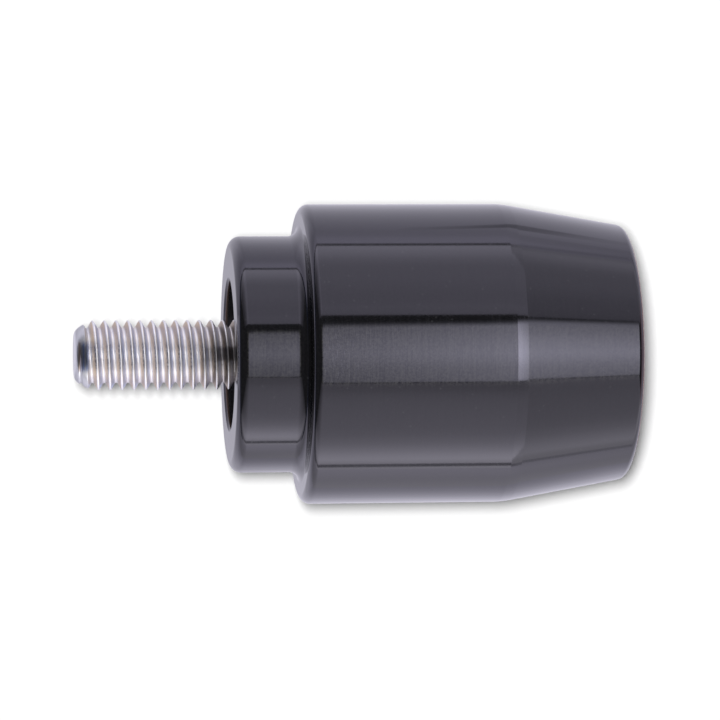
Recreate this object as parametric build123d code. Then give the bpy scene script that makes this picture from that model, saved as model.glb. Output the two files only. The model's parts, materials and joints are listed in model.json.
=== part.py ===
from build123d import *
import os
from math import radians, tan

# Bar end weight for a handlebar: a turned body with a socket head screw through its middle.
# The axis runs along X. The spigot's seat face lies at x = 0, the screw's free end points to -X
# and the outer end face to +X. Lengths are in millimetres and angles in degrees.

# Weight body, outside
body_diameter = 25.4
spigot_diameter = 20.0
spigot_length = 6.0
barrel_length = 16.75
facet_width = 0.9
facet_angle = 5.5
taper_length = 10.05
taper_angle = 10.0
spigot_edge_radius = 0.95
shoulder_edge_radius = 0.85
end_edge_chamfer = 0.3

# Weight body, inside
recess_diameter = 12.7
recess_depth = 12.0
edge_break = 0.2

# Socket head screw
screw_length = 40.0
shank_diameter = 6.0
thread_diameter = 5.88
thread_pitch = 1.0
thread_length = 24.0
tip_chamfer = 1.33
head_diameter = 10.0
head_height = 6.0
head_edge_chamfer = 0.5
socket_across_flats = 5.0
socket_depth = 3.2
socket_mouth_chamfer = 0.45

# Fits between the screw and the body
hole_clearance = 0.3
head_side_clearance = 0.5
head_sink = 0.8

# Stations along the axis
shoulder_x = spigot_length
facet_x = shoulder_x + barrel_length
taper_x = facet_x + facet_width
end_x = taper_x + taper_length
head_top_x = end_x - head_sink
seat_x = head_top_x - head_height
tip_x = seat_x - screw_length

# Radii
facet_slope = tan(radians(facet_angle))
taper_slope = tan(radians(taper_angle))
body_radius = body_diameter / 2
spigot_radius = spigot_diameter / 2
taper_radius = body_radius - facet_width * facet_slope
end_radius = taper_radius - taper_length * taper_slope
recess_radius = recess_diameter / 2
shank_radius = shank_diameter / 2
thread_radius = thread_diameter / 2
hole_radius = max(shank_radius, thread_radius) + hole_clearance
head_radius = head_diameter / 2
counterbore_radius = head_radius + head_side_clearance

# The thread runs out into a short neck at its pitch diameter, 1.5 pitches long, before the plain shank.
PITCH_RADIUS_DROP = 0.325
RUNOUT_PITCHES = 1.5
neck_radius = thread_radius - PITCH_RADIUS_DROP * thread_pitch
shank_start_x = tip_x + thread_length
thread_end_x = shank_start_x - RUNOUT_PITCHES * thread_pitch

# A rounded edge takes up no more than this share of the flat it stands on.
FLAT_SHARE = 0.45


def rounding(wanted, flat_width):
    """Edge radius, limited by the width of the flat beside it."""
    return min(wanted, FLAT_SHARE * flat_width)


def turned(section):
    """Solid of revolution about X from the corners (x, radius, rounding) of its half section."""
    corners = [(x, radius) for x, radius, _ in section]
    roundings = [corner_rounding for _, _, corner_rounding in section]
    with BuildPart() as piece:
        with BuildSketch():
            with BuildLine():
                FilletPolyline(corners, radius=roundings, close=True)
            make_face()
        revolve(axis=Axis.X)
    return piece.part


def make_weight_body():
    seat_width = spigot_radius - recess_radius - edge_break
    shoulder_width = body_radius - spigot_radius
    return turned(
        [
            (recess_depth, hole_radius, 0),
            (recess_depth, recess_radius, 0),
            (edge_break, recess_radius, 0),
            (0, recess_radius + edge_break, 0),
            (0, spigot_radius, rounding(spigot_edge_radius, seat_width)),
            (shoulder_x, spigot_radius, 0),
            (shoulder_x, body_radius, rounding(shoulder_edge_radius, shoulder_width)),
            (facet_x, body_radius, 0),
            (taper_x, taper_radius, 0),
            (end_x - end_edge_chamfer, end_radius + end_edge_chamfer * taper_slope, 0),
            (end_x, end_radius - end_edge_chamfer, 0),
            (end_x, counterbore_radius + edge_break, 0),
            (end_x - edge_break, counterbore_radius, 0),
            (seat_x, counterbore_radius, 0),
            (seat_x, hole_radius, 0),
        ]
    )


def make_socket_screw():
    neck_drop = thread_radius - neck_radius
    neck_rise = shank_radius - neck_radius
    blank = turned(
        [
            (tip_x, 0, 0),
            (tip_x, thread_radius - tip_chamfer, 0),
            (tip_x + tip_chamfer, thread_radius, 0),
            (thread_end_x, thread_radius, 0),
            (thread_end_x + neck_drop, neck_radius, 0),
            (shank_start_x - neck_rise, neck_radius, 0),
            (shank_start_x, shank_radius, 0),
            (seat_x, shank_radius, 0),
            (seat_x, head_radius, 0),
            (head_top_x - head_edge_chamfer, head_radius, 0),
            (head_top_x, head_radius - head_edge_chamfer, 0),
            (head_top_x, 0, 0),
        ]
    )
    return blank - make_key_socket()


def make_key_socket():
    """Hexagonal recess for the key, with a bevelled mouth."""
    flat_radius = socket_across_flats / 2
    floor_x = head_top_x - socket_depth
    bevel_x = head_top_x - socket_mouth_chamfer
    with BuildPart() as hexagon:
        with BuildSketch(Plane.YZ.offset(floor_x)):
            RegularPolygon(radius=flat_radius, side_count=6, major_radius=False)
        extrude(amount=socket_depth)
    mouth = turned(
        [
            (bevel_x, 0, 0),
            (bevel_x, flat_radius, 0),
            (head_top_x, flat_radius + socket_mouth_chamfer, 0),
            (head_top_x, 0, 0),
        ]
    )
    return hexagon.part + mouth


os.makedirs("parts", exist_ok=True)
export_step(make_weight_body(), "parts/weight_body.step")
export_step(make_socket_screw(), "parts/socket_screw.step")
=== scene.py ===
import json
from math import atan2, ceil, cos, pi, radians, sin, tan

import bmesh
import bpy
from mathutils import Matrix, Vector


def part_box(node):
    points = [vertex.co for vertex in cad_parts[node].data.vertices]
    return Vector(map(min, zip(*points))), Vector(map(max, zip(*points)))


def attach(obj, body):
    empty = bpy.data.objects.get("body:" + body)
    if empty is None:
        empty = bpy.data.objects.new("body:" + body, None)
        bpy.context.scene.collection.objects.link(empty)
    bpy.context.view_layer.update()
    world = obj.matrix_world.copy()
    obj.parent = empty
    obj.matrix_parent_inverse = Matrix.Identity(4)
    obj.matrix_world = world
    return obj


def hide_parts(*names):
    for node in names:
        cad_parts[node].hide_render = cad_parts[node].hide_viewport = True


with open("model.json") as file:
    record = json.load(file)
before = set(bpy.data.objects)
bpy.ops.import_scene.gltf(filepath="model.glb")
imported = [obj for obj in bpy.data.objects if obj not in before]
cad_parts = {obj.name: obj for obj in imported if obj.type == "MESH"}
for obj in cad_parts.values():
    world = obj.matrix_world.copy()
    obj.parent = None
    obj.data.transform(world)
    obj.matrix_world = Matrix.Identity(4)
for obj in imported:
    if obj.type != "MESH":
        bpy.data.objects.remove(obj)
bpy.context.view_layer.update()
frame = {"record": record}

# Bar end weight: a gloss black turned body and the bright socket screw through its middle.
# The axis runs along X, the seat face lies at x = 0 and the screw's free end points to -X.
# Lengths are in metres. MM turns a size in millimetres into metres.
MM = 0.001

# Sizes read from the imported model
mounts = {mount["name"]: mount for mount in frame["record"]["mounts"]}
body_low, body_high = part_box("weight_body")
screw_low, screw_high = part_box("socket_screw")
BODY_RADIUS = body_high.z
END_X = body_high.x
SPIGOT_RADIUS = mounts["spigot"]["dims"]["r_mm"] * MM
SHOULDER_FACE_X = mounts["shoulder_face"]["pos_m"][0]
CREST_RADIUS = mounts["stud"]["dims"]["r_mm"] * MM
TIP_X = screw_low.x
HEAD_TOP_X = screw_high.x
HEAD_RADIUS = screw_high.z

# Weight body, with a coat of finish on the shoulder's face
SHOULDER_COAT = 0.05 * MM
SHOULDER_X = SHOULDER_FACE_X - SHOULDER_COAT
TAPER_LENGTH = 10.05 * MM
TAPER_ANGLE = radians(10.0)
FACET_WIDTH = 0.9 * MM
FACET_X = END_X - TAPER_LENGTH - FACET_WIDTH
FACET_START_ANGLE = radians(4.2)
FACET_END_ANGLE = radians(6.8)
SPIGOT_EDGE_ROUNDING = 0.95 * MM
SPIGOT_ROOT_ROUNDING = 0.98 * MM
SHOULDER_EDGE_ROUNDING = 0.8 * MM
END_EDGE_ROUNDING = 0.64 * MM
RECESS_RADIUS = 6.35 * MM
RECESS_DEPTH = 12.0 * MM
RECESS_CORNER_ROUNDING = 0.4 * MM
EDGE_BREAK = 0.2 * MM
COUNTERBORE_RADIUS = 5.5 * MM
HOLE_RADIUS = 3.3 * MM

# Socket screw: tip, thread and shank
PITCH = 1.0 * MM
CREST_ROUNDING = 0.09 * MM
ROOT_ROUNDING = 0.15 * MM
ROUNDING_TURNS = [radians(degrees) for degrees in (-60, -40, -20, 0, 20, 40, 60)]
FLANK_SHARES = (0.04, 0.35, 0.65, 0.96)
THREAD_DEPTH = PITCH * sin(pi / 3) - CREST_ROUNDING - ROOT_ROUNDING
ROOT_RADIUS = CREST_RADIUS - THREAD_DEPTH
THREAD_PHASE = 0.09 * MM
THREAD_LEAD_IN = 1.5 * PITCH
THREADED_LENGTH = 24.0 * MM
TIP_RADIUS = 1.55 * MM
TIP_LENGTH = 1.6 * MM
TIP_ROUNDNESS = 0.4
SHANK_RADIUS = 3.0 * MM
SHANK_START_X = TIP_X + THREADED_LENGTH
NECK_RADIUS = CREST_RADIUS - 0.325 * PITCH
NECK_LENGTH = 1.5 * PITCH
THREAD_END_X = SHANK_START_X - NECK_LENGTH
RUNOUT_LENGTH = 1.2 * PITCH

# Socket screw: head and key socket
HEAD_HEIGHT = 6.0 * MM
SEAT_X = HEAD_TOP_X - HEAD_HEIGHT
HEAD_EDGE_ROUNDING = 0.6 * MM
HEAD_EDGE_STEPS = 4
KNURL_DEPTH = 0.12 * MM
KNURL_END_GAP = 0.3 * MM
SOCKET_FLAT_RADIUS = 2.5 * MM
SOCKET_DEPTH = 3.2 * MM
SOCKET_MOUTH_RADIUS = SOCKET_FLAT_RADIUS + 0.45 * MM
SOCKET_FLOOR_RADIUS = SOCKET_FLAT_RADIUS * 0.96
SOCKET_POINT_DEPTH = 1.2 * MM
SOCKET_POINT_SHARE = 0.1

# Fineness of the meshes
BODY_SEGMENTS = 256
SCREW_SEGMENTS = 120
ARC_STEP = radians(7.5)
SHARP_ANGLE = radians(38)
WELD_DISTANCE = 1e-8


# Meshes

def outline_runs(corners):
    """Runs of (x, radius, normal x, normal radius) along a closed half section.

    Its corners are (x, radius, rounding). The solid lies on the right of the outline, so each normal
    is the direction of travel turned left.
    """
    points = [Vector((x, radius)) for x, radius, _ in corners]
    count = len(points)
    directions = [(points[(i + 1) % count] - points[i]).normalized() for i in range(count)]
    starts = [point.copy() for point in points]
    ends = [point.copy() for point in points]
    arcs = {}
    for i, (_, _, rounding) in enumerate(corners):
        if rounding == 0:
            continue
        before, after = directions[i - 1], directions[i]
        turn = atan2(before.x * after.y - before.y * after.x, before.dot(after))
        reach = rounding * tan(abs(turn) / 2)
        ends[i] = points[i] - before * reach
        starts[i] = points[i] + after * reach
        normal = Vector((-before.y, before.x))
        side = 1 if turn < 0 else -1
        centre = ends[i] - normal * rounding * side
        steps = max(2, ceil(abs(turn) / ARC_STEP))
        arcs[i] = []
        for step in range(steps + 1):
            turned = Matrix.Rotation(turn * step / steps, 2) @ normal
            place = centre + turned * rounding * side
            arcs[i].append((place.x, place.y, turned.x, turned.y))
    runs = []
    for i, direction in enumerate(directions):
        if i in arcs:
            runs.append(arcs[i])
        start, end = starts[i], ends[(i + 1) % count]
        if (end - start).length > WELD_DISTANCE:
            normal = (-direction.y, direction.x)
            runs.append([(start.x, start.y, *normal), (end.x, end.y, *normal)])
    return runs


def turned_mesh(name, runs, segments):
    """Mesh of a half section turned about X, shaded with the section's own normals."""
    angles = [2 * pi * k / segments for k in range(segments)]
    turns = [(cos(angle), sin(angle)) for angle in angles]
    vertices, faces, normals, ring_starts = [], [], [], {}

    def ring(x, radius):
        key = (round(x / WELD_DISTANCE), round(radius / WELD_DISTANCE))
        if key not in ring_starts:
            ring_starts[key] = len(vertices)
            vertices.extend((x, radius * c, radius * s) for c, s in turns)
        return ring_starts[key]

    for run in runs:
        for (x0, r0, nx0, nr0), (x1, r1, nx1, nr1) in zip(run, run[1:]):
            near, far = ring(x0, r0), ring(x1, r1)
            for k in range(segments):
                following = (k + 1) % segments
                faces.append((near + k, near + following, far + following, far + k))
                (c, s), (c2, s2) = turns[k], turns[following]
                normals.append((nx0, nr0 * c, nr0 * s))
                normals.append((nx0, nr0 * c2, nr0 * s2))
                normals.append((nx1, nr1 * c2, nr1 * s2))
                normals.append((nx1, nr1 * c, nr1 * s))
    mesh = bpy.data.meshes.new(name)
    mesh.from_pydata(vertices, [], faces)
    mesh.shade_smooth()
    mesh.normals_split_custom_set(normals)
    return mesh


def body_outline():
    """Corners of the weight body's half section, from the recess floor round to the screw's hole."""
    facet_half = FACET_WIDTH / 2
    facet_mid_radius = BODY_RADIUS - facet_half * tan(FACET_START_ANGLE)
    facet_end_radius = facet_mid_radius - facet_half * tan(FACET_END_ANGLE)
    facet_rounding = facet_half / tan((FACET_END_ANGLE - FACET_START_ANGLE) / 2)
    end_radius = facet_end_radius - TAPER_LENGTH * tan(TAPER_ANGLE)
    return [
        (RECESS_DEPTH, HOLE_RADIUS, 0),
        (RECESS_DEPTH, RECESS_RADIUS, RECESS_CORNER_ROUNDING),
        (EDGE_BREAK, RECESS_RADIUS, 0),
        (0, RECESS_RADIUS + EDGE_BREAK, 0),
        (0, SPIGOT_RADIUS, SPIGOT_EDGE_ROUNDING),
        (SHOULDER_X, SPIGOT_RADIUS, SPIGOT_ROOT_ROUNDING),
        (SHOULDER_X, BODY_RADIUS, SHOULDER_EDGE_ROUNDING),
        (FACET_X, BODY_RADIUS, 0),
        (FACET_X + facet_half, facet_mid_radius, facet_rounding),
        (FACET_X + FACET_WIDTH, facet_end_radius, 0),
        (END_X, end_radius, END_EDGE_ROUNDING),
        (END_X, COUNTERBORE_RADIUS + EDGE_BREAK, 0),
        (END_X - EDGE_BREAK, COUNTERBORE_RADIUS, 0),
        (SEAT_X, COUNTERBORE_RADIUS, 0),
        (SEAT_X, HOLE_RADIUS, 0),
    ]


def thread_profile():
    """Points (x, radius) of one pitch of the rolled thread, from crest to crest, rounded at both."""
    crest, root = [], []
    for turn in ROUNDING_TURNS:
        bend = 1 - cos(turn)
        crest.append((CREST_ROUNDING * sin(turn), CREST_RADIUS - CREST_ROUNDING * bend))
        root.append((PITCH / 2 + ROOT_ROUNDING * sin(turn), ROOT_RADIUS + ROOT_ROUNDING * bend))
    next_crest = [(x + PITCH, radius) for x, radius in crest]
    falling_flank = flank_points(crest[-1], root[0])
    rising_flank = flank_points(root[-1], next_crest[0])
    top = len(crest) // 2
    return crest[top:] + falling_flank + root + rising_flank + next_crest[:top]


def flank_points(start, end):
    """Points along a straight flank, two of them just inside its ends to keep its shading flat."""
    (x0, r0), (x1, r1) = start, end
    return [(x0 + share * (x1 - x0), r0 + share * (r1 - r0)) for share in FLANK_SHARES]


def thread_point(x, radius):
    """The thread cut back to its rounded tip at one end and run out into the neck at the other."""
    if x <= TIP_X:
        return TIP_X, TIP_RADIUS
    if x >= THREAD_END_X:
        return THREAD_END_X, NECK_RADIUS
    full = min(1.0, (THREAD_END_X - x) / RUNOUT_LENGTH)
    radius = NECK_RADIUS + (radius - NECK_RADIUS) * full
    tip_share = min(1.0, (x - TIP_X) / TIP_LENGTH) ** TIP_ROUNDNESS
    return x, min(radius, TIP_RADIUS + (CREST_RADIUS - TIP_RADIUS) * tip_share)


def socket_radius(angle):
    """Distance from the axis to the key socket's wall, with corners on Y."""
    sixth = pi / 3
    return SOCKET_FLAT_RADIUS / cos(angle % sixth - sixth / 2)


def head_rings():
    """Rings of the screw from the end of its thread into its key socket, and the socket's deepest point.

    Each ring is a function of the angle about X that gives (x, radius).
    """
    def plain(x, radius):
        return lambda angle: (x, radius)

    def knurled(x):
        tooth = 4 * pi / SCREW_SEGMENTS
        return lambda angle: (x, HEAD_RADIUS - KNURL_DEPTH * (round(2 * angle / tooth) % 2))

    neck_rise = SHANK_RADIUS - NECK_RADIUS
    knurl_base = HEAD_RADIUS - KNURL_DEPTH / 2
    knurl_start = SEAT_X + KNURL_END_GAP
    knurl_end = HEAD_TOP_X - HEAD_EDGE_ROUNDING - KNURL_END_GAP
    floor_x = HEAD_TOP_X - SOCKET_DEPTH
    blunt_depth = SOCKET_POINT_DEPTH * (1 - SOCKET_POINT_SHARE)
    rings = [
        plain(SHANK_START_X - neck_rise, NECK_RADIUS),
        plain(SHANK_START_X, SHANK_RADIUS),
        plain(SEAT_X, SHANK_RADIUS),
        plain(SEAT_X, knurl_base),
        knurled(knurl_start),
        knurled(knurl_end),
    ]
    for step in range(HEAD_EDGE_STEPS + 1):
        turn = step / HEAD_EDGE_STEPS * pi / 2
        x = HEAD_TOP_X - HEAD_EDGE_ROUNDING * (1 - sin(turn))
        rings.append(plain(x, knurl_base - HEAD_EDGE_ROUNDING * (1 - cos(turn))))
    rings += [
        plain(HEAD_TOP_X, SOCKET_MOUTH_RADIUS),
        lambda angle: (HEAD_TOP_X - SOCKET_MOUTH_RADIUS + socket_radius(angle), socket_radius(angle)),
        lambda angle: (floor_x, socket_radius(angle)),
        plain(floor_x, SOCKET_FLOOR_RADIUS),
        plain(floor_x - blunt_depth, SOCKET_FLAT_RADIUS * SOCKET_POINT_SHARE),
    ]
    return rings, (floor_x - SOCKET_POINT_DEPTH, 0)


def screw_mesh(name):
    """One closed mesh: a right-hand helical thread, plain shank, knurled head and key socket."""
    profile = thread_profile()
    per_pitch = len(profile)
    first_x = TIP_X - THREAD_LEAD_IN + THREAD_PHASE
    pitches = ceil((THREAD_END_X - first_x) / PITCH) + 1
    rows = pitches * per_pitch
    angles = [2 * pi * k / SCREW_SEGMENTS for k in range(SCREW_SEGMENTS)]
    vertices, faces = [], []

    def place(x, radius, angle):
        vertices.append((x, radius * cos(angle), radius * sin(angle)))

    for row in range(rows):
        along, radius = profile[row % per_pitch]
        for k, angle in enumerate(angles):
            x = first_x + (row // per_pitch + k / SCREW_SEGMENTS) * PITCH + along
            place(*thread_point(x, radius), angle)

    def thread_vertex(row, k):
        turn, k = divmod(k, SCREW_SEGMENTS)
        return min(row + turn * per_pitch, rows - 1) * SCREW_SEGMENTS + k

    for row in range(rows - 1):
        for k in range(SCREW_SEGMENTS):
            faces.append(
                (
                    thread_vertex(row, k),
                    thread_vertex(row, k + 1),
                    thread_vertex(row + 1, k + 1),
                    thread_vertex(row + 1, k),
                )
            )
    rings, socket_point = head_rings()
    near = (rows - 1) * SCREW_SEGMENTS
    for ring in rings:
        far = len(vertices)
        for angle in angles:
            place(*ring(angle), angle)
        for k in range(SCREW_SEGMENTS):
            following = (k + 1) % SCREW_SEGMENTS
            faces.append((near + k, near + following, far + following, far + k))
        near = far
    point = len(vertices)
    place(*socket_point, 0)
    for k in range(SCREW_SEGMENTS):
        faces.append((near + k, near + (k + 1) % SCREW_SEGMENTS, point))
    tip = len(vertices)
    place(TIP_X, 0, 0)
    for k in range(SCREW_SEGMENTS):
        faces.append((k, tip, (k + 1) % SCREW_SEGMENTS))

    mesh = bpy.data.meshes.new(name)
    mesh.from_pydata(vertices, [], faces)
    welded = bmesh.new()
    welded.from_mesh(mesh)
    bmesh.ops.remove_doubles(welded, verts=welded.verts, dist=WELD_DISTANCE)
    bmesh.ops.dissolve_degenerate(welded, edges=welded.edges, dist=WELD_DISTANCE)
    bmesh.ops.recalc_face_normals(welded, faces=welded.faces)
    welded.to_mesh(mesh)
    welded.free()
    mesh.shade_smooth()
    mesh.set_sharp_from_angle(angle=SHARP_ANGLE)
    return mesh


# Nodes

def feed(tree, value, socket):
    """Set an input to a value, or link it from another node's output."""
    if isinstance(value, bpy.types.NodeSocket):
        tree.links.new(value, socket)
    else:
        socket.default_value = value


def add_node(tree, kind, settings=None, **values):
    """Node with its properties set and each named input fed, with underscores for spaces in the names."""
    node = tree.nodes.new(kind)
    for label, value in (settings or {}).items():
        setattr(node, label, value)
    for label, value in values.items():
        feed(tree, value, node.inputs[label.replace("_", " ")])
    return node


def operation_node(tree, kind, operation, values):
    """Value that a node works out from its inputs in their order."""
    node = add_node(tree, kind, {"operation": operation})
    for socket, value in zip(node.inputs, values):
        feed(tree, value, socket)
    return node.outputs["Value"]


def math_node(tree, operation, *values):
    """Value worked out from numbers or sockets."""
    return operation_node(tree, "ShaderNodeMath", operation, values)


def vector_node(tree, operation, *values):
    """Value worked out from vectors or sockets."""
    return operation_node(tree, "ShaderNodeVectorMath", operation, values)


def product(tree, value, *others):
    """Product of numbers or sockets."""
    for other in others:
        value = math_node(tree, "MULTIPLY", value, other)
    return value


def fade(tree, value, start, end):
    """0 where the value is at start or before it, 1 where it is at end or past it."""
    return add_node(tree, "ShaderNodeMapRange", Value=value, From_Min=start, From_Max=end).outputs[0]


def noise(tree, place, per_mm, detail=3.0):
    """Cloudy noise with a number of clouds to the millimetre."""
    return add_node(tree, "ShaderNodeTexNoise", Vector=place, Scale=per_mm / MM, Detail=detail).outputs[0]


def ramp_node(tree, factor, stops):
    """Colour ramp through stops (position, colour or grey value)."""
    node = add_node(tree, "ShaderNodeValToRGB", Fac=factor)
    elements = node.color_ramp.elements
    while len(elements) < len(stops):
        elements.new(1.0)
    for element, (position, colour) in zip(elements, stops):
        element.position = position
        element.color = (*colour, 1) if isinstance(colour, tuple) else (colour, colour, colour, 1)
    return node.outputs["Color"]


def blend(tree, share, base, over):
    """Colour that goes from base to over, each a colour or a socket, as the share goes from 0 to 1."""
    base, over = [(*colour, 1) if isinstance(colour, tuple) else colour for colour in (base, over)]
    mix = add_node(tree, "ShaderNodeMix", {"data_type": "RGBA"}, Factor=share, A=base, B=over)
    return mix.outputs["Result"]


def surface_place(tree):
    """Place on the surface, its coordinates along the axes and its distance from the part's axis."""
    place = add_node(tree, "ShaderNodeTexCoord").outputs["Object"]
    axes = add_node(tree, "ShaderNodeSeparateXYZ", Vector=place).outputs
    square = math_node(tree, "MULTIPLY", axes["Y"], axes["Y"])
    square = math_node(tree, "MULTIPLY_ADD", axes["Z"], axes["Z"], square)
    return place, axes, math_node(tree, "SQRT", square)


def facing_along(tree):
    """How far the surface faces along the axis: -1 to the screw's tip, 1 to the outer end."""
    normal = add_node(tree, "ShaderNodeTexCoord").outputs["Normal"]
    return add_node(tree, "ShaderNodeSeparateXYZ", Vector=normal).outputs["X"]


def off_middle(tree, axes, middle_y):
    """Distance sideways from a line along the part's top."""
    return math_node(tree, "ABSOLUTE", math_node(tree, "SUBTRACT", axes["Y"], middle_y))


def strip_along_top(tree, axes, distance, outer, inner):
    """Strip along the part's top: 1 where the distance is under inner, 0 where it is over outer."""
    above = math_node(tree, "GREATER_THAN", axes["Z"], 0.0)
    return product(tree, fade(tree, distance, outer, inner), above)


# Effects that both finishes use

def new_group(name, inputs, outputs):
    """Empty shader node group with float inputs {name: value} and float outputs."""
    group = bpy.data.node_groups.new(name, "ShaderNodeTree")
    for label, value in inputs.items():
        socket = group.interface.new_socket(label, in_out="INPUT", socket_type="NodeSocketFloat")
        socket.default_value = value
    for label in outputs:
        group.interface.new_socket(label, in_out="OUTPUT", socket_type="NodeSocketFloat")
    return group, group.nodes.new("NodeGroupInput").outputs, group.nodes.new("NodeGroupOutput").inputs


def turning_marks_group():
    """Fine lines left round the axis by the lathe or the rolling dies: a mask and a height."""
    inputs = {"Lines per mm": 12.0, "Turn length": 0.25, "Sharpness": 0.5}
    group, given, out = new_group("turning_marks", inputs, ["Mask", "Height"])
    place = add_node(group, "ShaderNodeTexCoord").outputs["Object"]
    axes = add_node(group, "ShaderNodeSeparateXYZ", Vector=place).outputs
    along = product(group, given["Lines per mm"], 1 / MM)
    round_axis = product(group, given["Turn length"], 1 / MM)
    stretched = add_node(
        group,
        "ShaderNodeCombineXYZ",
        X=product(group, axes["X"], along),
        Y=product(group, axes["Y"], round_axis),
        Z=product(group, axes["Z"], round_axis),
    ).outputs[0]
    lines = add_node(
        group, "ShaderNodeTexNoise", Vector=stretched, Scale=1.0, Detail=4.0, Roughness=0.62
    ).outputs[0]
    low = math_node(group, "MULTIPLY_ADD", given["Sharpness"], 0.14, 0.44)
    group.links.new(fade(group, lines, low, 0.72), out["Mask"])
    group.links.new(lines, out["Height"])
    return group


def specks_group():
    """Scattered small specks, such as dust and tiny pits: a mask."""
    group, given, out = new_group("specks", {"Specks per mm": 2.0, "Share": 0.1}, ["Mask"])
    place = add_node(group, "ShaderNodeTexCoord").outputs["Object"]
    density = product(group, given["Specks per mm"], 1 / MM)
    cells = add_node(group, "ShaderNodeTexVoronoi", Vector=place, Scale=density, Randomness=1.0)
    chance = add_node(group, "ShaderNodeSeparateColor", Color=cells.outputs["Color"]).outputs[0]
    chosen = math_node(group, "LESS_THAN", chance, given["Share"])
    spot = fade(group, cells.outputs["Distance"], 0.35, 0.1)
    group.links.new(product(group, chosen, spot), out["Mask"])
    return group


turning_marks = turning_marks_group()
specks = specks_group()


def place_group(tree, group, **values):
    """Node group placed in a material with its own values; gives its outputs."""
    return add_node(tree, "ShaderNodeGroup", {"node_tree": group}, **values).outputs


# Materials

def new_material(name):
    """Material with its node tree and its Principled shader's inputs."""
    material = bpy.data.materials.new(name)
    material.use_nodes = True
    return material, material.node_tree, material.node_tree.nodes["Principled BSDF"].inputs


# Black finish: colours, a painted sheen along the top, a rub, and a painted lit brown band in the recess
# mouth
FILM_COLOURS = [(0.4, (0.0022, 0.0022, 0.0026)), (0.62, (0.0048, 0.0047, 0.0052))]
# Lighter colour of the painted sheen: a grainy strip along the top, where the overhead highlight falls.
SHEEN_GRAIN_COLOUR = (0.0185, 0.0182, 0.0172)
DUST_COLOUR = (0.03, 0.03, 0.032)
# Brown of the recess wall at its mouth: painted light where it reaches into the recess.
LIT_MOUTH_COLOUR = (0.049, 0.031, 0.024)
FILM_LINES, FILM_GRAIN = 0.45, 0.55
DUST_STRENGTH = 0.5
SHEEN_GRAIN_LEVELS = [(0.42, 0.0), (0.6, 1.0)]
SHEEN_MIDDLE_Y = 0.55 * MM
# The painted sheen strip's half widths are shares of the distance from the axis.
SHEEN_OUTER, SHEEN_INNER = 0.205, 0.18
SHEEN_FACING = 0.2
RUB_START_X, RUB_END_X = 6.5 * MM, 11.5 * MM
RUB_LOW_Z, RUB_HIGH_Z = 12.3 * MM, 12.6 * MM
RUB_LEVELS = [(0.0, 0.0), (0.12, 1.0), (0.3, 0.8), (0.42, 0.25), (1.0, 0.0)]
BORE_REACH = RECESS_RADIUS + 0.05 * MM
LIT_MOUTH_START_X, LIT_MOUTH_END_X = 0.15 * MM, 0.4 * MM
GLOSS_ROUGHNESS, HAZE_ROUGHNESS = 0.045, 0.05
GLOSS_LINE_ROUGHNESS, RECESS_ROUGHNESS = 0.05, 0.12
PEEL_HEIGHT, RUB_HEIGHT = 0.35, -12.0
GLOSS_BUMP_STRENGTH, GLOSS_BUMP_HEIGHT = 0.05, 0.02 * MM


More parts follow.
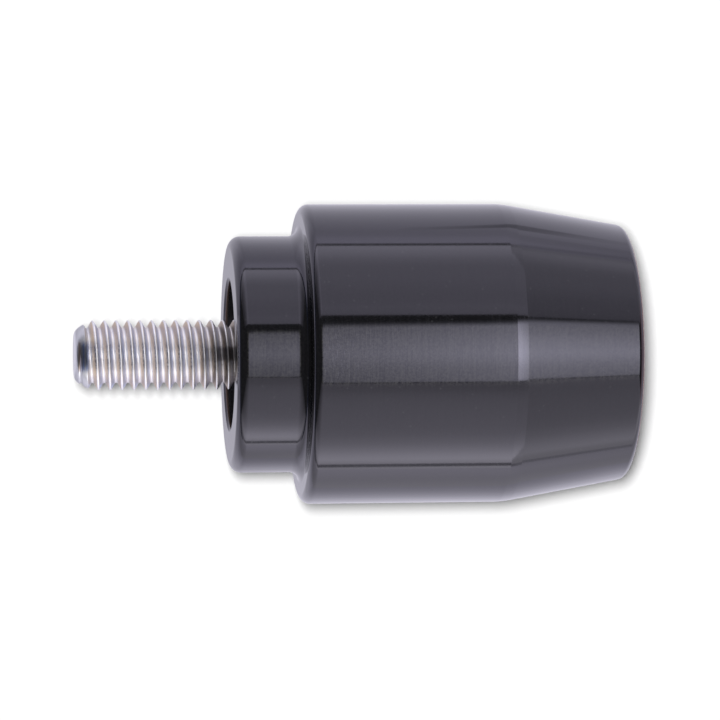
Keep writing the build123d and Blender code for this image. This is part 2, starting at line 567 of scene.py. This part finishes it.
def gloss_black_finish():
    """Deep black gloss coat: turning lines, a grainy painted sheen along the top where the highlight
    falls, dust, a rub, a painted lit brown band at the recess mouth and a dull recess.
    """
    material, tree, shader = new_material("gloss_black_finish")
    place, axes, reach = surface_place(tree)
    marks = place_group(tree, turning_marks, Lines_per_mm=9.0, Turn_length=0.35)
    rub = place_group(tree, turning_marks, Lines_per_mm=11.0, Turn_length=1.6, Sharpness=0.9)
    dust = place_group(tree, specks, Specks_per_mm=3.0, Share=0.04)
    grain = noise(tree, place, per_mm=5.2)
    haze = noise(tree, place, per_mm=0.14)
    peel = noise(tree, place, per_mm=2.6, detail=2.0)

    film = product(tree, grain, FILM_GRAIN)
    film = math_node(tree, "MULTIPLY_ADD", marks["Height"], FILM_LINES, film)
    off_top = math_node(tree, "DIVIDE", off_middle(tree, axes, SHEEN_MIDDLE_Y), reach)
    facing = math_node(tree, "ABSOLUTE", facing_along(tree))
    # Painted sheen: lighter grain in a strip along the top, away from the faces at the ends, where the
    # highlight falls.
    painted_sheen = product(
        tree,
        ramp_node(tree, film, SHEEN_GRAIN_LEVELS),
        strip_along_top(tree, axes, off_top, SHEEN_OUTER, SHEEN_INNER),
        math_node(tree, "LESS_THAN", facing, SHEEN_FACING),
    )
    bore = math_node(tree, "LESS_THAN", reach, BORE_REACH)
    # Painted light: the recess wall is brown only in a narrow band at its mouth, where light reaches in,
    # and keeps the black film colour deeper down.
    lit_mouth = product(tree, bore, fade(tree, axes["X"], LIT_MOUTH_END_X, LIT_MOUTH_START_X))
    colour = blend(tree, painted_sheen, ramp_node(tree, film, FILM_COLOURS), SHEEN_GRAIN_COLOUR)
    colour = blend(tree, product(tree, dust["Mask"], DUST_STRENGTH), colour, DUST_COLOUR)
    colour = blend(tree, lit_mouth, colour, LIT_MOUTH_COLOUR)

    rough = math_node(tree, "MULTIPLY_ADD", haze, HAZE_ROUGHNESS, GLOSS_ROUGHNESS)
    rough = math_node(tree, "MULTIPLY_ADD", marks["Mask"], GLOSS_LINE_ROUGHNESS, rough)
    rough = math_node(tree, "MULTIPLY_ADD", bore, RECESS_ROUGHNESS, rough)

    rubbed = product(
        tree,
        rub["Mask"],
        ramp_node(tree, fade(tree, axes["X"], RUB_START_X, RUB_END_X), RUB_LEVELS),
        fade(tree, axes["Z"], RUB_LOW_Z, RUB_HIGH_Z),
    )
    height = math_node(tree, "MULTIPLY_ADD", peel, PEEL_HEIGHT, marks["Height"])
    height = math_node(tree, "MULTIPLY_ADD", rubbed, RUB_HEIGHT, height)
    bump = add_node(
        tree, "ShaderNodeBump", Height=height, Strength=GLOSS_BUMP_STRENGTH, Distance=GLOSS_BUMP_HEIGHT
    )

    tree.links.new(colour, shader["Base Color"])
    tree.links.new(rough, shader["Roughness"])
    tree.links.new(bump.outputs[0], shader["Normal"])
    shader["IOR"].default_value = 1.65
    shader["Specular Tint"].default_value = (0.86, 0.83, 1.0, 1)
    return material


# Bright steel: colours with painted reflections and highlights, and where it is burnished, flecked,
# smeared, shaded towards the recess and given a painted reflection on the tip
# Painted reflections: flanks facing the tip are tan and flanks facing the head are blue.
FLANK_REFLECTION_COLOURS = [(0.15, (0.765, 0.615, 0.455)), (0.85, (0.515, 0.58, 0.785))]
FLANK_FACING = 0.7
FLANK_REFLECTION_SHARE, FLANK_TONE = 0.7, 0.3
# Near-white of the burnished crests and roots, also standing for their painted highlight lines.
CREST_COLOUR = (0.93, 0.915, 0.92)
STAIN_COLOUR = (0.14, 0.125, 0.13)
# Dark colour of the smeared strip and of the painted shade towards the recess.
SMEAR_AND_SHADE_COLOUR = (0.2, 0.185, 0.19)
BURNISH_AND_HIGHLIGHT_LEVELS = [(0.06, 0.65), (0.2, 0.0), (0.8, 0.0), (0.9, 1.0)]
FLECK_LEVELS = [(0.6, 0.0), (0.74, 1.0), (0.9, 1.0), (0.97, 0.0)]
FLECK_GRAIN = [(0.46, 0.0), (0.54, 0.75)]
PIT_STAIN = 0.55
TOP_OUTER, TOP_INNER, TOP_RAGGEDNESS = 1.7 * MM, 1.3 * MM, 0.7 * MM
SMEAR_MIDDLE_Y = 0.2 * MM
SMEAR_OUTER, SMEAR_INNER, SMEAR_RAGGEDNESS = 1.2 * MM, 0.75 * MM, 0.6 * MM
# Span over which the smeared strip and the painted shade fade in as the screw nears the recess.
NEAR_RECESS_START_X, NEAR_RECESS_FULL_X, NEAR_RECESS_END_X = -2.7 * MM, -0.3 * MM, 4.0 * MM
SMEAR_STRENGTH, SMEAR_WEAR = 0.95, -0.3
# Painted shade towards the recess: its strength on the flanks, and how much less on crests and roots.
RECESS_SHADE_STRENGTH, RECESS_SHADE_WEAR = 0.55, -0.4
STEEL_ROUGHNESS, STEEL_LINE_ROUGHNESS = 0.4, 0.1
TIP_ROUGHNESS, PIT_ROUGHNESS = -0.1, 0.12
PIT_HEIGHT = -0.6
STEEL_BUMP_STRENGTH, STEEL_BUMP_HEIGHT = 0.08, 0.03 * MM
# Painted reflection on the tip: its darker grey, and bands of brown and blue along its top, stand for the
# dark open side it faces.
TIP_COLOUR = (0.6, 0.605, 0.63)
TIP_FULL_X, TIP_END_X = TIP_X + 1.1 * MM, TIP_X + 1.5 * MM
TIP_REFLECTION_START_X, TIP_REFLECTION_END_X = TIP_X + 0.3 * MM, TIP_X + 1.3 * MM
TIP_REFLECTION_TINTS = [
    (0.0, TIP_COLOUR), (0.07, (0.58, 0.46, 0.39)), (0.18, (0.5, 0.44, 0.44)), (0.3, (0.4, 0.42, 0.52)),
    (0.48, (0.24, 0.31, 0.6)), (0.57, (0.52, 0.54, 0.62)), (0.7, (0.3, 0.36, 0.55)),
    (0.85, (0.3, 0.36, 0.55)), (0.97, TIP_COLOUR),
]


def bright_steel():
    """Plain rolled steel: flank colours as painted reflections, burnished crests also painted bright as
    highlights, fine lines, pits, flecks, an oily smeared strip, painted shade towards the recess and a
    painted reflection on the tip.
    """
    material, tree, shader = new_material("bright_steel")
    place, axes, reach = surface_place(tree)
    facing = facing_along(tree)
    marks = place_group(tree, turning_marks, Lines_per_mm=14.0, Turn_length=1.2)
    pits = place_group(tree, specks, Specks_per_mm=7.0, Share=0.16)
    tone = noise(tree, place, per_mm=0.42)
    grime = noise(tree, place, per_mm=7.0)

    # Painted reflection: the flank colour follows which way the surface faces along the axis, mixed with a
    # random tone.
    side = product(tree, fade(tree, facing, -FLANK_FACING, FLANK_FACING), FLANK_REFLECTION_SHARE)
    side = math_node(tree, "MULTIPLY_ADD", tone, FLANK_TONE, side)
    depth = fade(tree, reach, ROOT_RADIUS, CREST_RADIUS)
    # Burnish on crests and roots, painted near-white so it also stands for their highlight lines.
    burnish_and_highlight = ramp_node(tree, depth, BURNISH_AND_HIGHLIGHT_LEVELS)
    colour = blend(tree, burnish_and_highlight, ramp_node(tree, side, FLANK_REFLECTION_COLOURS), CREST_COLOUR)

    off_top = math_node(tree, "MULTIPLY_ADD", grime, TOP_RAGGEDNESS, off_middle(tree, axes, 0.0))
    on_top = strip_along_top(tree, axes, off_top, TOP_OUTER, TOP_INNER)
    flecks = product(
        tree,
        ramp_node(tree, depth, FLECK_LEVELS),
        math_node(tree, "LESS_THAN", facing, 0.0),
        ramp_node(tree, grime, FLECK_GRAIN),
        on_top,
    )
    stains = math_node(tree, "MAXIMUM", product(tree, pits["Mask"], PIT_STAIN), flecks)
    colour = blend(tree, stains, colour, STAIN_COLOUR)

    near_recess = product(
        tree,
        fade(tree, axes["X"], NEAR_RECESS_START_X, NEAR_RECESS_FULL_X),
        math_node(tree, "LESS_THAN", axes["X"], NEAR_RECESS_END_X),
    )
    off_smear = off_middle(tree, axes, SMEAR_MIDDLE_Y)
    off_smear = math_node(tree, "MULTIPLY_ADD", grime, SMEAR_RAGGEDNESS, off_smear)
    smear_and_shade = strip_along_top(tree, axes, off_smear, SMEAR_OUTER, SMEAR_INNER)
    worn = math_node(tree, "MULTIPLY_ADD", burnish_and_highlight, SMEAR_WEAR, SMEAR_STRENGTH)
    smear_and_shade = product(tree, smear_and_shade, near_recess, worn)
    # Painted shade: the screw darkens towards the recess mouth where it goes into the body, flanks more
    # than crests.
    recess_shade = math_node(tree, "MULTIPLY_ADD", burnish_and_highlight, RECESS_SHADE_WEAR, RECESS_SHADE_STRENGTH)
    smear_and_shade = math_node(tree, "MAXIMUM", smear_and_shade, product(tree, recess_shade, near_recess))
    colour = blend(tree, smear_and_shade, colour, SMEAR_AND_SHADE_COLOUR)

    # Painted reflection on the tip: darker grey, with bands of tint along its top.
    tip = fade(tree, axes["X"], TIP_END_X, TIP_FULL_X)
    tint = ramp_node(tree, fade(tree, axes["X"], TIP_REFLECTION_START_X, TIP_REFLECTION_END_X), TIP_REFLECTION_TINTS)
    colour = blend(tree, tip, colour, blend(tree, on_top, TIP_COLOUR, tint))

    rough = math_node(tree, "MULTIPLY_ADD", marks["Mask"], STEEL_LINE_ROUGHNESS, STEEL_ROUGHNESS)
    rough = math_node(tree, "MULTIPLY_ADD", tip, TIP_ROUGHNESS, rough)
    rough = math_node(tree, "MULTIPLY_ADD", pits["Mask"], PIT_ROUGHNESS, rough)
    height = math_node(tree, "MULTIPLY_ADD", pits["Mask"], PIT_HEIGHT, marks["Height"])
    bump = add_node(
        tree, "ShaderNodeBump", Height=height, Strength=STEEL_BUMP_STRENGTH, Distance=STEEL_BUMP_HEIGHT
    )

    tree.links.new(colour, shader["Base Color"])
    tree.links.new(rough, shader["Roughness"])
    tree.links.new(bump.outputs[0], shader["Normal"])
    shader["Metallic"].default_value = 1.0
    return material


# Stage: floor, light tent, key light, surroundings and camera. The tent's sizes are in millimetres.

FLOOR_Z = body_low.z
FLOOR_SIZE = 6.0
TENT_FLOOR = FLOOR_Z / MM
TENT_HALF_WIDTH = 210
TENT_START_X = -300
TENT_END_X = 450
OPEN_SIDE_X = -85
OPEN_SIDE_START_X = -600
SOFTBOX_HEIGHT = 450
CURTAIN_HEIGHT = 200
PANEL_GAP = 0.1
SEAM_GAP = 1
FAR_SEAM_FLOOR_WIDTH = 18
WALL_PARTING_X = 70
WALL_PARTING_SLOPE = 0.45
ALONG_X, ALONG_Y, ALONG_Z = (1, 0, 0), (0, 1, 0), (0, 0, 1)
ACROSS_SOFTBOX_EDGE = (-0.2, 1, 0)
SOFTBOX_TINT = (0.932, 0.938, 0.987)
COOL_WHITE = (1.0, 0.985, 1.06)
NEAR_WALL_TINT = (1.025, 1.01, 1.04)
FLOOR_TINT = (0.965, 0.94, 1.085)
NEAR_FOOT_TINT = (1.015, 0.99, 1.08)
END_FLOOR_TINT = (1.22, 0.83, 0.86)
OPEN_SIDE_TINT = (0.55, 0.75, 1.5)
CURTAIN_TINT = (1.16, 0.83, 0.9)
BOARD_FADE_LENGTH = 110 * MM
BOARD_LEVELS = [(0.0, 0.8), (0.27, 0.815), (0.55, 0.859), (0.82, 0.929), (1.0, 0.985)]
BOARD_GRAIN = [(0.3, 0.994), (0.7, 1.0)]
AMBIENT_LEVEL = 0.15
BACKDROP_GAIN = 0.9
REFLECTION_LOSS = 0.085
CAMERA_PLACE = Vector((-22.95, 16.237, 290.65)) * MM
CAMERA_TARGET = Vector((11.1925, -0.5356, 0.0)) * MM
CAMERA_SENSOR_WIDTH = 36.0
CAMERA_FOCAL_LENGTH = 172.3
CAMERA_CLIP_START = 0.01
KEY_PLACE = CAMERA_PLACE + Vector((-6.7, 7.8, 2.0)) * MM
KEY_WIDTH, KEY_LENGTH = 21.5 * MM, 38 * MM
KEY_POWER = 1.07


def add_piece(name, mesh, material):
    """Object of a mesh with one material, linked into the scene."""
    mesh.materials.append(material)
    piece = bpy.data.objects.new(name, mesh)
    bpy.context.scene.collection.objects.link(piece)
    return piece


def flat_mesh(name, corners):
    """Mesh of one four-sided face."""
    mesh = bpy.data.meshes.new(name)
    mesh.from_pydata(corners, [], [(0, 1, 2, 3)])
    return mesh


def pale_board():
    """Matt white board under the part, with a faint grain, paler away from the key light."""
    material, tree, shader = new_material("pale_board")
    place = add_node(tree, "ShaderNodeTexCoord").outputs["Object"]
    away = vector_node(tree, "DISTANCE", place, (KEY_PLACE.x, KEY_PLACE.y, FLOOR_Z))
    shade = ramp_node(tree, fade(tree, away, 0.0, BOARD_FADE_LENGTH), BOARD_LEVELS)
    grain = ramp_node(tree, noise(tree, place, per_mm=0.9), BOARD_GRAIN)
    grained = {"data_type": "RGBA", "blend_type": "MULTIPLY"}
    colour = add_node(tree, "ShaderNodeMix", grained, Factor=1.0, A=shade, B=grain).outputs["Result"]
    tree.links.new(colour, shader["Base Color"])
    shader["Roughness"].default_value = 1.0
    shader["Specular IOR Level"].default_value = 0.0
    return material


def add_floor():
    """Wide floor at the height of the body's underside."""
    half = FLOOR_SIZE / 2
    corners = [(x, y, FLOOR_Z) for x, y in ((-half, -half), (half, -half), (half, half), (-half, half))]
    floor = add_piece("floor", flat_mesh("floor", corners), pale_board())


def glow(name, ramps, tint):
    """Light of a tent panel: the product of ramps (direction, stops), each stop (millimetres, level)."""
    material = bpy.data.materials.new(name)
    material.use_nodes = True
    tree = material.node_tree
    tree.nodes.clear()
    place = add_node(tree, "ShaderNodeTexCoord").outputs["Object"]
    strength = 1.0
    for direction, stops in ramps:
        start, end = stops[0][0], stops[-1][0]
        peak = max(level for _, level in stops)
        share = fade(tree, vector_node(tree, "DOT_PRODUCT", place, direction), start * MM, end * MM)
        shares = [((where - start) / (end - start), level / peak) for where, level in stops]
        strength = product(tree, ramp_node(tree, share, shares), peak, strength)
    emission = add_node(tree, "ShaderNodeEmission", Color=(*tint, 1), Strength=strength)
    output = tree.nodes.new("ShaderNodeOutputMaterial")
    tree.links.new(emission.outputs[0], output.inputs["Surface"])
    material.cycles.emission_sampling = "NONE"
    return material


def add_panel(name, corners, ramps, tint):
    """Tent panel with corners in millimetres that shows only in reflections."""
    mesh = flat_mesh(name, [Vector(corner) * MM for corner in corners])
    panel = add_piece(name, mesh, glow(name, ramps, tint))
    panel.visible_camera = False
    panel.visible_diffuse = False
    panel.visible_transmission = False
    panel.visible_shadow = False


def level_panel(name, z, x_levels, y_levels, tint):
    """Level panel over the spans of its levels along X and Y."""
    (x0, x1), (y0, y1) = [(levels[0][0], levels[-1][0]) for levels in (x_levels, y_levels)]
    corners = [(x0, y0, z), (x1, y0, z), (x1, y1, z), (x0, y1, z)]
    add_panel(name, corners, [(ALONG_X, x_levels), (ALONG_Y, y_levels)], tint)


def side_panel(name, y, x_levels, z_levels, tint):
    """Upright panel over the spans of its levels along X and Z."""
    (x0, x1), (z0, z1) = [(levels[0][0], levels[-1][0]) for levels in (x_levels, z_levels)]
    corners = [(x0, y, z0), (x1, y, z0), (x1, y, z1), (x0, y, z1)]
    add_panel(name, corners, [(ALONG_X, x_levels), (ALONG_Z, z_levels)], tint)


def wall_panels(name, y, x_levels, barrel_levels, taper_levels, tint):
    """Tent wall of two panels that meet on a slant: the barrel shows one and the taper the other."""
    (left, _), (low, _), (high, _) = x_levels[0], barrel_levels[0], barrel_levels[-1]
    foot, top = [(WALL_PARTING_X + WALL_PARTING_SLOPE * z, y, z) for z in (low, high)]
    corners = [(left, y, low), foot, top, (left, y, high)]
    add_panel(name + "_left", corners, [(ALONG_X, x_levels), (ALONG_Z, barrel_levels)], tint)
    corners = [foot, (TENT_END_X, y, low), (TENT_END_X, y, high), top]
    add_panel(name + "_right", corners, [(ALONG_Z, taper_levels)], tint)


def add_softbox():
    """Softbox overhead, brightest over the taper, with a slanted soft edge on the far side."""
    x_levels = [(-60, 1.4), (15, 1.46), (34, 1.6), (58, 1.88), (70, 2.25), (96, 3.06)]
    x_levels += [(125, 4.22), (169, 6.75), (215, 4.66), (277, 3.32), (400, 2.5)]
    y_levels = [(-149, 0.57), (-112, 0.65), (-76, 0.7), (-46, 0.79), (-18, 0.9), (9, 0.98)]
    y_levels += [(31, 1.0), (63, 0.93), (91, 0.87), (120, 0.8), (150, 0.7), (190, 0.63), (295, 0.5)]
    edge_levels = [(-260, 1.0), (172, 1.0), (205, 0.12), (215, 0.1)]
    corners = [(x, y, SOFTBOX_HEIGHT) for x, y in ((-60, -149), (400, -149), (400, 295), (-60, 203))]
    ramps = [(ALONG_X, x_levels), (ALONG_Y, y_levels), (ACROSS_SOFTBOX_EDGE, edge_levels)]
    add_panel("softbox", corners, ramps, SOFTBOX_TINT)


def add_far_wall():
    """Tent wall on the far side, with the dark seam at its foot."""
    far, foot = TENT_HALF_WIDTH, TENT_FLOOR
    x_levels = [(TENT_START_X, 0.2), (-190, 0.38), (-120, 0.68), (-60, 1.15), (-25, 1.17)]
    x_levels += [(0, 1.0), (400, 1.0)]
    barrel_levels = [(foot, 1.72), (2, 1.7), (13, 1.6), (28, 1.46), (42, 1.26), (57, 1.14), (71, 1.06)]
    barrel_levels += [(117, 1.05), (151, 1.0), (191, 0.95), (237, 0.95), (265, 1.0), (336, 0.92)]
    taper_levels = [(foot, 1.19), (13, 1.15), (20, 1.07), (28, 1.03), (42, 0.91), (57, 0.86), (71, 0.84)]
    taper_levels += [(117, 0.83), (151, 0.77), (191, 0.7), (237, 0.67), (272, 0.65), (310, 0.61)]
    taper_levels += [(336, 0.58)]
    wall_panels("far_wall", far, x_levels, barrel_levels, taper_levels, COOL_WHITE)

    x_levels = [(TENT_START_X, 0.4), (58, 0.4), (88, 1.0), (110, 1.04), (TENT_END_X, 1.1)]
    z_levels = [(foot, 1.0), (-5, 1.0)]
    side_panel("far_seam", far - SEAM_GAP, x_levels, z_levels, COOL_WHITE)
    y_levels = [(far - FAR_SEAM_FLOOR_WIDTH, 1.0), (far - SEAM_GAP, 1.0)]
    level_panel("far_seam_floor", foot + 2 * PANEL_GAP, x_levels, y_levels, COOL_WHITE)


def add_near_wall():
    """Tent wall on the near side, with a seam at its foot that the barrel and the taper show apart."""
    near, foot = -TENT_HALF_WIDTH, TENT_FLOOR
    x_levels = [(TENT_START_X, 0.15), (-190, 0.45), (-115, 0.64), (-40, 0.88), (0, 1.0), (30, 1.0)]
    x_levels += [(60, 1.05), (80, 1.04), (110, 1.0), (400, 1.0)]
    barrel_levels = [(foot, 1.95), (11, 2.17), (27, 2.69), (42, 2.5), (58, 2.16), (73, 1.87), (88, 1.62)]
    barrel_levels += [(104, 1.48), (121, 1.33), (157, 1.22), (222, 1.14), (311, 1.05), (397, 0.92)]
    barrel_levels += [(455, 0.8), (610, 0.7)]
    taper_levels = [(foot, 1.31), (11, 1.45), (27, 1.79), (42, 1.71), (58, 1.58), (73, 1.44), (88, 1.29)]
    taper_levels += [(104, 1.22), (121, 1.12), (157, 1.04), (222, 0.99), (311, 0.93), (397, 0.89)]
    taper_levels += [(455, 0.9), (610, 0.95)]
    wall_panels("near_wall", near, x_levels, barrel_levels, taper_levels, NEAR_WALL_TINT)

    x_levels = [(TENT_START_X, 0.67), (58, 0.67), (WALL_PARTING_X, 0.75)]
    z_levels = [(-4, 1.0), (8, 1.0)]
    side_panel("near_seam_barrel", near + SEAM_GAP, x_levels, z_levels, COOL_WHITE)
    x_levels = [(WALL_PARTING_X, 0.75), (90, 0.97), (TENT_END_X, 1.0)]
    z_levels = [(foot, 1.0), (-2, 1.0)]
    side_panel("near_seam_taper", near + SEAM_GAP, x_levels, z_levels, COOL_WHITE)


def add_tent_floor():
    """Floor as the gloss shows it: bright along the walls, dim beside the part, dark on the open side."""
    near, far, low = -TENT_HALF_WIDTH, TENT_HALF_WIDTH, TENT_FLOOR + PANEL_GAP
    x_levels = [(OPEN_SIDE_X, 0.88), (-15, 0.9), (15, 1.0), (40, 1.0), (56, 0.95), (66, 0.93), (76, 0.77)]
    x_levels += [(84, 0.62), (89, 0.68), (97, 0.69), (117, 0.73), (TENT_END_X, 0.8)]
    y_levels = [(60, 0.97), (80, 1.08), (104, 1.29), (150, 1.4), (far, 1.5)]
    level_panel("far_foot", low, x_levels, y_levels, FLOOR_TINT)

    x_levels = [(OPEN_SIDE_X, 0.7), (-10, 0.74), (2, 0.87), (9, 1.0), (40, 1.0), (65, 0.93), (80, 0.86)]
    x_levels += [(110, 0.78), (TENT_END_X, 0.85)]
    y_levels = [(near, 1.75), (-146, 1.67), (-94, 1.45), (-68, 1.23), (-54, 1.15), (-42, 1.08)]
    level_panel("near_foot", low, x_levels, y_levels, NEAR_FOOT_TINT)

    x_levels = [(OPEN_SIDE_X, 0.8), (-20, 0.85), (-5, 0.97), (-2, 0.83), (0, 0.85), (5, 0.9), (15, 0.95)]
    x_levels += [(36, 0.97), (41, 1.04), (60, 1.0), (TENT_END_X, 0.97)]
    y_levels = [(-42, 1.13), (-34, 1.16), (-28, 1.23), (-22, 1.27), (-16, 1.02), (-12, 0.85), (-9, 0.75)]
    y_levels += [(0, 0.68), (9, 0.72), (12, 0.8), (15, 0.94), (20, 1.05), (60, 1.03)]
    level_panel("middle_floor", low, x_levels, y_levels, FLOOR_TINT)

    x_levels = [(OPEN_SIDE_START_X, 0.08), (OPEN_SIDE_X, 0.08)]
    level_panel("open_side", low, x_levels, [(near, 1.0), (far, 1.0)], OPEN_SIDE_TINT)


def add_floor_marks():
    """Patches on the tent's floor: before the screw's tip, beyond the outer end and beside the taper."""
    above = TENT_FLOOR + 2 * PANEL_GAP

    def add_patch(name, corners, x_levels):
        add_panel(name, [(x, y, above) for x, y in corners], [(ALONG_X, x_levels)], FLOOR_TINT)

    corners = [(OPEN_SIDE_X, -27), (-16, -4), (-16, 4), (OPEN_SIDE_X, 27)]
    add_patch("tip_floor", corners, [(OPEN_SIDE_X, 0.95), (-16, 1.0)])
    level_panel("end_floor", above, [(36, 0.66), (80, 0.75)], [(-11, 1.0), (11, 1.0)], END_FLOOR_TINT)
    x_levels = [(20, 0.93), (25, 0.76), (29, 0.55), (34, 0.56)]
    add_patch("left_mark", [(20, 50), (34, 38), (34, 47), (20, 58)], x_levels)
    x_levels = [(34, 0.56), (38, 0.62), (40, 0.72), (42, 0.85), (44, 0.94), (48, 1.0)]
    add_patch("right_mark", [(34, 37), (48, 36), (48, 44), (34, 47.5)], x_levels)


def add_right_curtain():
    """Dim warm curtain beyond the outer end."""
    x, low, high = TENT_END_X, TENT_FLOOR, CURTAIN_HEIGHT
    near, far = -TENT_HALF_WIDTH, TENT_HALF_WIDTH
    corners = [(x, near, low), (x, far, low), (x, far, high), (x, near, high)]
    add_panel("right_curtain", corners, [(ALONG_Z, [(low, 1.0), (60, 0.9), (high, 0.4)])], CURTAIN_TINT)


def add_key_light():
    """Key light beside the camera, which gives the short soft shadow."""
    lamp = bpy.data.lights.new("key_light", "AREA")
    lamp.shape = "ELLIPSE"
    lamp.size = KEY_WIDTH
    lamp.size_y = KEY_LENGTH
    lamp.energy = KEY_POWER
    key = bpy.data.objects.new("key_light", lamp)
    key.location = KEY_PLACE
    key.visible_camera = False
    key.visible_glossy = False
    bpy.context.scene.collection.objects.link(key)


def add_surroundings():
    """White behind the part, dark in reflections between the panels and soft on the floor."""
    world = bpy.data.worlds.new("studio")
    world.use_nodes = True
    tree = world.node_tree
    rays = add_node(tree, "ShaderNodeLightPath").outputs
    level = math_node(tree, "MULTIPLY_ADD", rays["Is Camera Ray"], BACKDROP_GAIN, AMBIENT_LEVEL)
    level = math_node(tree, "MULTIPLY_ADD", rays["Is Glossy Ray"], -REFLECTION_LOSS, level)
    background = tree.nodes["Background"].inputs
    tree.links.new(level, background["Strength"])
    background["Color"].default_value = (1, 1, 1, 1)
    bpy.context.scene.world = world


def add_camera():
    """Camera nearly straight above the part, at the photograph's viewing angle."""
    lens = bpy.data.cameras.new("camera")
    lens.sensor_width = CAMERA_SENSOR_WIDTH
    lens.lens = CAMERA_FOCAL_LENGTH
    lens.clip_start = CAMERA_CLIP_START
    camera = bpy.data.objects.new("camera", lens)
    back = (CAMERA_PLACE - CAMERA_TARGET).normalized()
    right = Vector((0, 1, 0)).cross(back).normalized()
    upward = back.cross(right)
    turn = Matrix((right, upward, back)).transposed()
    camera.matrix_world = Matrix.Translation(CAMERA_PLACE) @ turn.to_4x4()
    bpy.context.scene.collection.objects.link(camera)
    bpy.context.scene.camera = camera


def build_part():
    """The two pieces of the bar end weight, both on the root body."""
    body_mesh = turned_mesh("turned_body", outline_runs(body_outline()), BODY_SEGMENTS)
    body = add_piece("turned_body", body_mesh, gloss_black_finish())
    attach(body, "root")
    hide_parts("weight_body")
    screw = add_piece("threaded_screw", screw_mesh("threaded_screw"), bright_steel())
    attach(screw, "root")
    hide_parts("socket_screw")


build_part()
add_floor()
add_softbox()
add_far_wall()
add_near_wall()
add_tent_floor()
add_floor_marks()
add_right_curtain()
add_key_light()
add_surroundings()
add_camera()
bpy.context.scene.view_settings.view_transform = "Standard"
